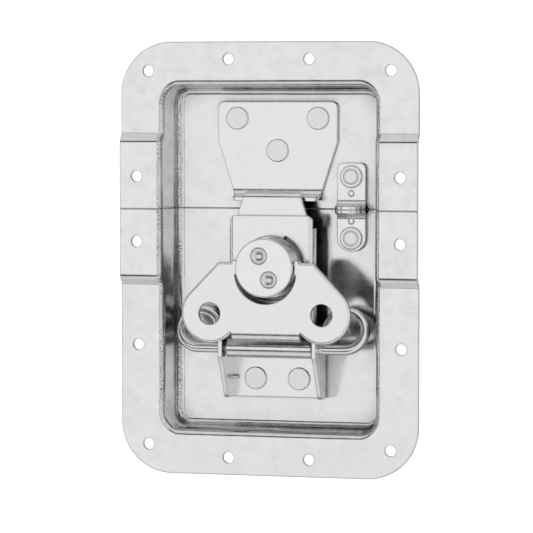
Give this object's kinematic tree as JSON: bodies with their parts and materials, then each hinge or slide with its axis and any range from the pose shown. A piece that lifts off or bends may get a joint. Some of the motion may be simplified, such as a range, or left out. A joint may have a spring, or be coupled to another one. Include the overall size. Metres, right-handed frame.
{
  "type": "recessed butterfly latch",
  "caption": "Recessed butterfly latch in a split pressed dish with a cranked flange: sliding hook, keeper plate, folding wing handle and padlock tabs.",
  "frame": {"origin": "centre of the dish in plan, on the plane of the rivet tails behind its floor", "axes": "+Z out of the case panel towards the user, +Y from the latch half towards the keeper half, +X to the right"},
  "size_m": [0.112, 0.158, 0.0229],
  "materials": {
    "zinc_sheet": "bright zinc-plated pressed sheet steel",
    "rivet_steel": "zinc-plated rivet steel, slightly duller",
    "turned_steel": "zinc-plated turned steel"
  },
  "bodies": {
    "dish": {"lower_dish": "zinc_sheet", "upper_dish": "zinc_sheet", "keeper_plate": "zinc_sheet", "keeper_rivets": "rivet_steel", "base_bracket": "zinc_sheet", "bracket_rivets": "rivet_steel", "hinge_wire": "turned_steel", "upper_tab": "zinc_sheet", "lower_tab": "zinc_sheet", "upper_tab_rivet": "rivet_steel", "lower_tab_rivet": "rivet_steel"},
    "latch": {"latch_body": "zinc_sheet", "guide_plate": "zinc_sheet"},
    "knob": {"drive_cam": "turned_steel", "spindle_washer": "turned_steel", "knob_drum": "turned_steel", "knob_cap": "turned_steel", "cap_pins": "rivet_steel", "cross_pin": "turned_steel"},
    "hook": {"hook_plate": "zinc_sheet"},
    "wings": {"butterfly_wings": "zinc_sheet"}
  },
  "joints": [
    {"name": "latch_swing", "type": "hinge", "parent": "dish", "child": "latch", "pos_m": [0, -0.0326, 0.01295], "axis": [1, 0, 0], "range_deg": [0, 72]},
    {"name": "knob_turn", "type": "hinge", "parent": "latch", "child": "knob", "pos_m": [0, -0.0028, 0.0133], "axis": [0, 0, 1], "range_deg": [0, 180]},
    {"name": "hook_slide", "type": "slide", "parent": "latch", "child": "hook", "axis": [0, 1, 0], "range_m": [0, 0.0038]},
    {"name": "wing_fold", "type": "hinge", "parent": "knob", "child": "wings", "pos_m": [0, -0.0028, 0.0176], "axis": [-1, 0, 0], "range_deg": [0, 90]}
  ],
  "couplings": [
    {"joint": "hook_slide", "follows": "knob_turn", "m_per_rad": 0.0012096}
  ]
}
